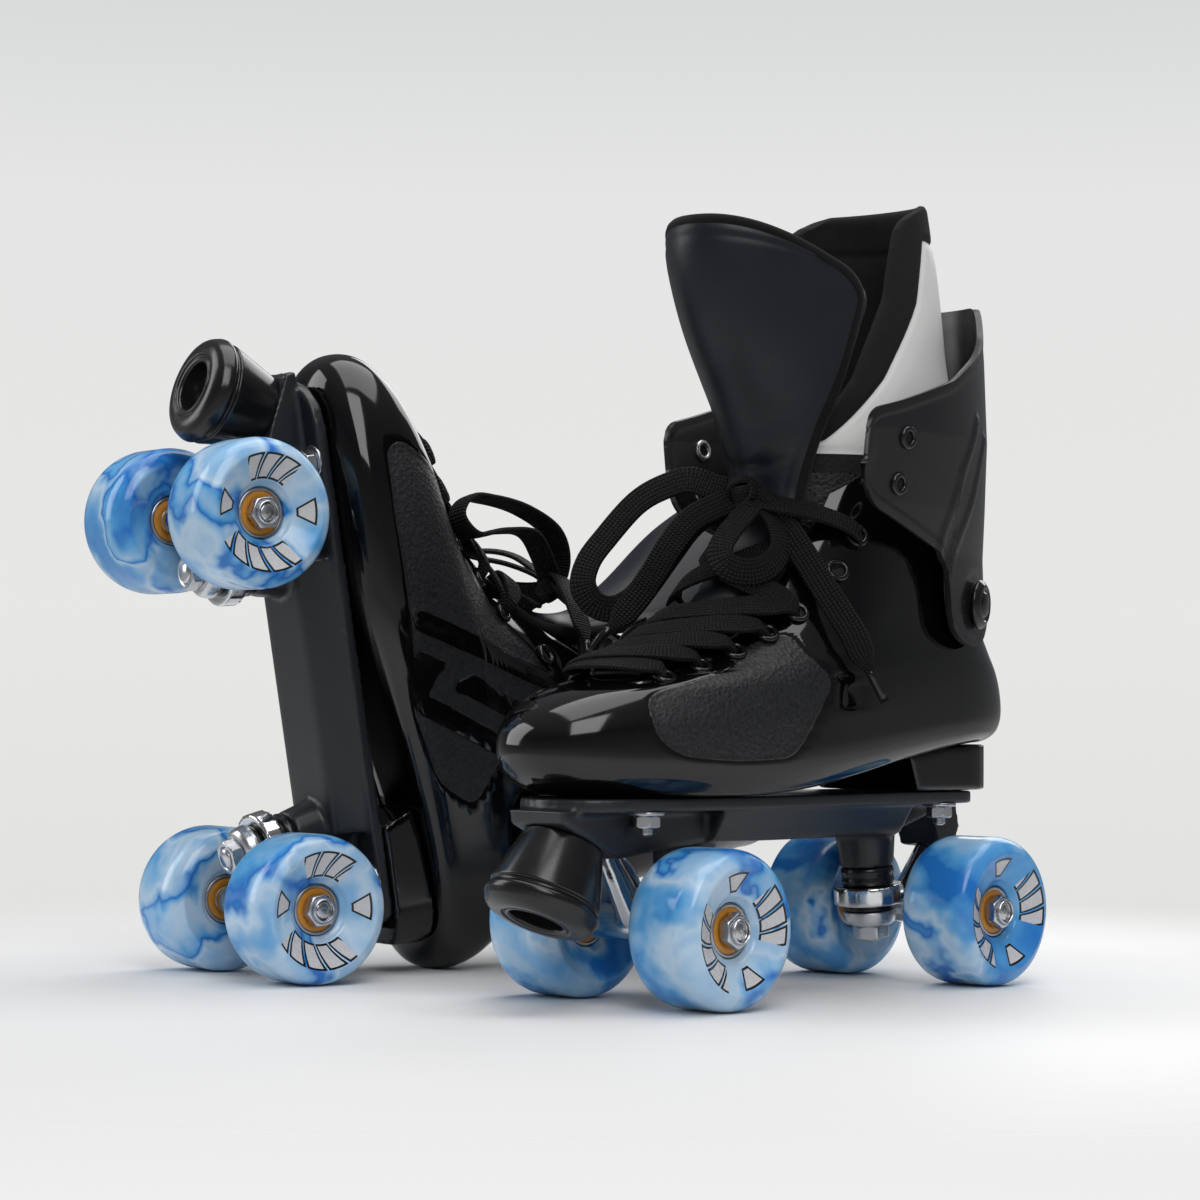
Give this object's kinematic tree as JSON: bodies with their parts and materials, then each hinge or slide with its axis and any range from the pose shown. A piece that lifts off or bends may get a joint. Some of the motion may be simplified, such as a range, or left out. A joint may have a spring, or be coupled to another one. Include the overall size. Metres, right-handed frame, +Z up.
{
  "type": "quad_roller_skates",
  "caption": "A pair of quad roller skates: black moulded boots with pivoting ankle cuffs and tied laces on sprung steering trucks, with marbled blue wheels and toe stops.",
  "frame": {"origin": "On the ground, at the middle of the box round both skates without the tied lace bows. The left skate stands on its wheels and the right one leans back beside it on its rear wheels and heel.", "axes": "+Z is up, +X is to the outer side of the left skate, and -Y is the way the left toe points."},
  "size_m": [0.3202, 0.369, 0.3394],
  "materials": {
    "boot_plastic": "gloss",
    "cuff_plastic": "satin",
    "plate_nylon": "satin",
    "stop_rubber": "satin",
    "tongue_leather": "satin",
    "liner_fabric": "matte",
    "lace_weave": "matte",
    "wheel_urethane": "gloss",
    "bearing_shield": "gloss",
    "truck_chrome": "polished",
    "hardware_zinc": "satin"
  },
  "bodies": {
    "skates": {"left_boot_shell": "boot_plastic", "left_liner": "liner_fabric", "left_tongue": "tongue_leather", "left_laces": "lace_weave", "left_lace_bow": "lace_weave", "left_heel_block": "boot_plastic", "left_plate": "plate_nylon", "left_toe_stop": "stop_rubber", "left_toe_stop_stem": "hardware_zinc", "left_front_kingpin": "hardware_zinc", "left_rear_kingpin": "hardware_zinc", "left_front_cushion": "stop_rubber", "left_rear_cushion": "stop_rubber", "right_boot_shell": "boot_plastic", "right_liner": "liner_fabric", "right_tongue": "tongue_leather", "right_laces": "lace_weave", "right_lace_bow": "lace_weave", "right_heel_block": "boot_plastic", "right_plate": "plate_nylon", "right_toe_stop": "stop_rubber", "right_toe_stop_stem": "hardware_zinc", "right_front_kingpin": "hardware_zinc", "right_rear_kingpin": "hardware_zinc", "right_front_cushion": "stop_rubber", "right_rear_cushion": "stop_rubber"},
    "left_ankle_cuff": {"left_cuff": "cuff_plastic", "left_cuff_rivet_outer": "boot_plastic", "left_cuff_rivet_inner": "boot_plastic"},
    "left_front_truck": {"left_front_hanger": "truck_chrome", "left_front_outer_nut": "hardware_zinc", "left_front_inner_nut": "hardware_zinc"},
    "left_front_outer_wheel_body": {"left_front_outer_wheel": "wheel_urethane", "left_front_outer_bearings": "bearing_shield"},
    "left_front_inner_wheel_body": {"left_front_inner_wheel": "wheel_urethane", "left_front_inner_bearings": "bearing_shield"},
    "left_rear_truck": {"left_rear_hanger": "truck_chrome", "left_rear_outer_nut": "hardware_zinc", "left_rear_inner_nut": "hardware_zinc"},
    "left_rear_outer_wheel_body": {"left_rear_outer_wheel": "wheel_urethane", "left_rear_outer_bearings": "bearing_shield"},
    "left_rear_inner_wheel_body": {"left_rear_inner_wheel": "wheel_urethane", "left_rear_inner_bearings": "bearing_shield"},
    "right_ankle_cuff": {"right_cuff": "cuff_plastic", "right_cuff_rivet_outer": "boot_plastic", "right_cuff_rivet_inner": "boot_plastic"},
    "right_front_truck": {"right_front_hanger": "truck_chrome", "right_front_outer_nut": "hardware_zinc", "right_front_inner_nut": "hardware_zinc"},
    "right_front_outer_wheel_body": {"right_front_outer_wheel": "wheel_urethane", "right_front_outer_bearings": "bearing_shield"},
    "right_front_inner_wheel_body": {"right_front_inner_wheel": "wheel_urethane", "right_front_inner_bearings": "bearing_shield"},
    "right_rear_truck": {"right_rear_hanger": "truck_chrome", "right_rear_outer_nut": "hardware_zinc", "right_rear_inner_nut": "hardware_zinc"},
    "right_rear_outer_wheel_body": {"right_rear_outer_wheel": "wheel_urethane", "right_rear_outer_bearings": "bearing_shield"},
    "right_rear_inner_wheel_body": {"right_rear_inner_wheel": "wheel_urethane", "right_rear_inner_bearings": "bearing_shield"}
  },
  "joints": [
    {"name": "left_cuff_flex", "type": "hinge", "parent": "skates", "child": "left_ankle_cuff", "pos_m": [0.10041, 0.09641, 0.1665], "axis": [1, 0, 0], "range_deg": [-2, 4], "stiffness_Nm_per_rad": 6},
    {"name": "left_front_steer", "type": "hinge", "parent": "skates", "child": "left_front_truck", "pos_m": [0.10041, -0.04909, 0.0387], "axis": [0, 0.8815, -0.4722], "range_deg": [-6, 6], "stiffness_Nm_per_rad": 30, "deforming": ["left_front_cushion"]},
    {"name": "left_front_outer_spin", "type": "hinge", "parent": "left_front_truck", "child": "left_front_outer_wheel_body", "pos_m": [0.14041, -0.07359, 0.0325], "axis": [1, 0, 0], "continuous": true},
    {"name": "left_front_inner_spin", "type": "hinge", "parent": "left_front_truck", "child": "left_front_inner_wheel_body", "pos_m": [0.06041, -0.07359, 0.0325], "axis": [1, 0, 0], "continuous": true},
    {"name": "left_rear_steer", "type": "hinge", "parent": "skates", "child": "left_rear_truck", "pos_m": [0.10041, 0.07391, 0.0387], "axis": [0, -0.8815, -0.4722], "range_deg": [-6, 6], "stiffness_Nm_per_rad": 30, "deforming": ["left_rear_cushion"]},
    {"name": "left_rear_outer_spin", "type": "hinge", "parent": "left_rear_truck", "child": "left_rear_outer_wheel_body", "pos_m": [0.14041, 0.09841, 0.0325], "axis": [1, 0, 0], "continuous": true},
    {"name": "left_rear_inner_spin", "type": "hinge", "parent": "left_rear_truck", "child": "left_rear_inner_wheel_body", "pos_m": [0.06041, 0.09841, 0.0325], "axis": [1, 0, 0], "continuous": true},
    {"name": "right_cuff_flex", "type": "hinge", "parent": "skates", "child": "right_ankle_cuff", "pos_m": [-0.06972, 0.0151, 0.05737], "axis": [0.9848, -0.1736, 0], "range_deg": [-2, 4], "stiffness_Nm_per_rad": 6},
    {"name": "right_front_steer", "type": "hinge", "parent": "skates", "child": "right_front_truck", "pos_m": [-0.09591, -0.1334, 0.17889], "axis": [-0.0546, -0.3098, -0.9492], "range_deg": [-6, 6], "stiffness_Nm_per_rad": 30, "deforming": ["right_front_cushion"]},
    {"name": "right_front_outer_spin", "type": "hinge", "parent": "right_front_truck", "child": "right_front_outer_wheel_body", "pos_m": [-0.13709, -0.13659, 0.20197], "axis": [0.9848, -0.1736, 0], "continuous": true},
    {"name": "right_front_inner_spin", "type": "hinge", "parent": "right_front_truck", "child": "right_front_inner_wheel_body", "pos_m": [-0.0583, -0.15048, 0.20197], "axis": [0.9848, -0.1736, 0], "continuous": true},
    {"name": "right_rear_steer", "type": "hinge", "parent": "skates", "child": "right_rear_truck", "pos_m": [-0.09226, -0.1127, 0.0577], "axis": [-0.1069, -0.6065, 0.7879], "range_deg": [-6, 6], "stiffness_Nm_per_rad": 30, "deforming": ["right_rear_cushion"]},
    {"name": "right_rear_outer_spin", "type": "hinge", "parent": "right_rear_truck", "child": "right_rear_outer_wheel_body", "pos_m": [-0.13198, -0.10765, 0.0325], "axis": [0.9848, -0.1736, 0], "continuous": true},
    {"name": "right_rear_inner_spin", "type": "hinge", "parent": "right_rear_truck", "child": "right_rear_inner_wheel_body", "pos_m": [-0.0532, -0.12154, 0.0325], "axis": [0.9848, -0.1736, 0], "continuous": true}
  ]
}
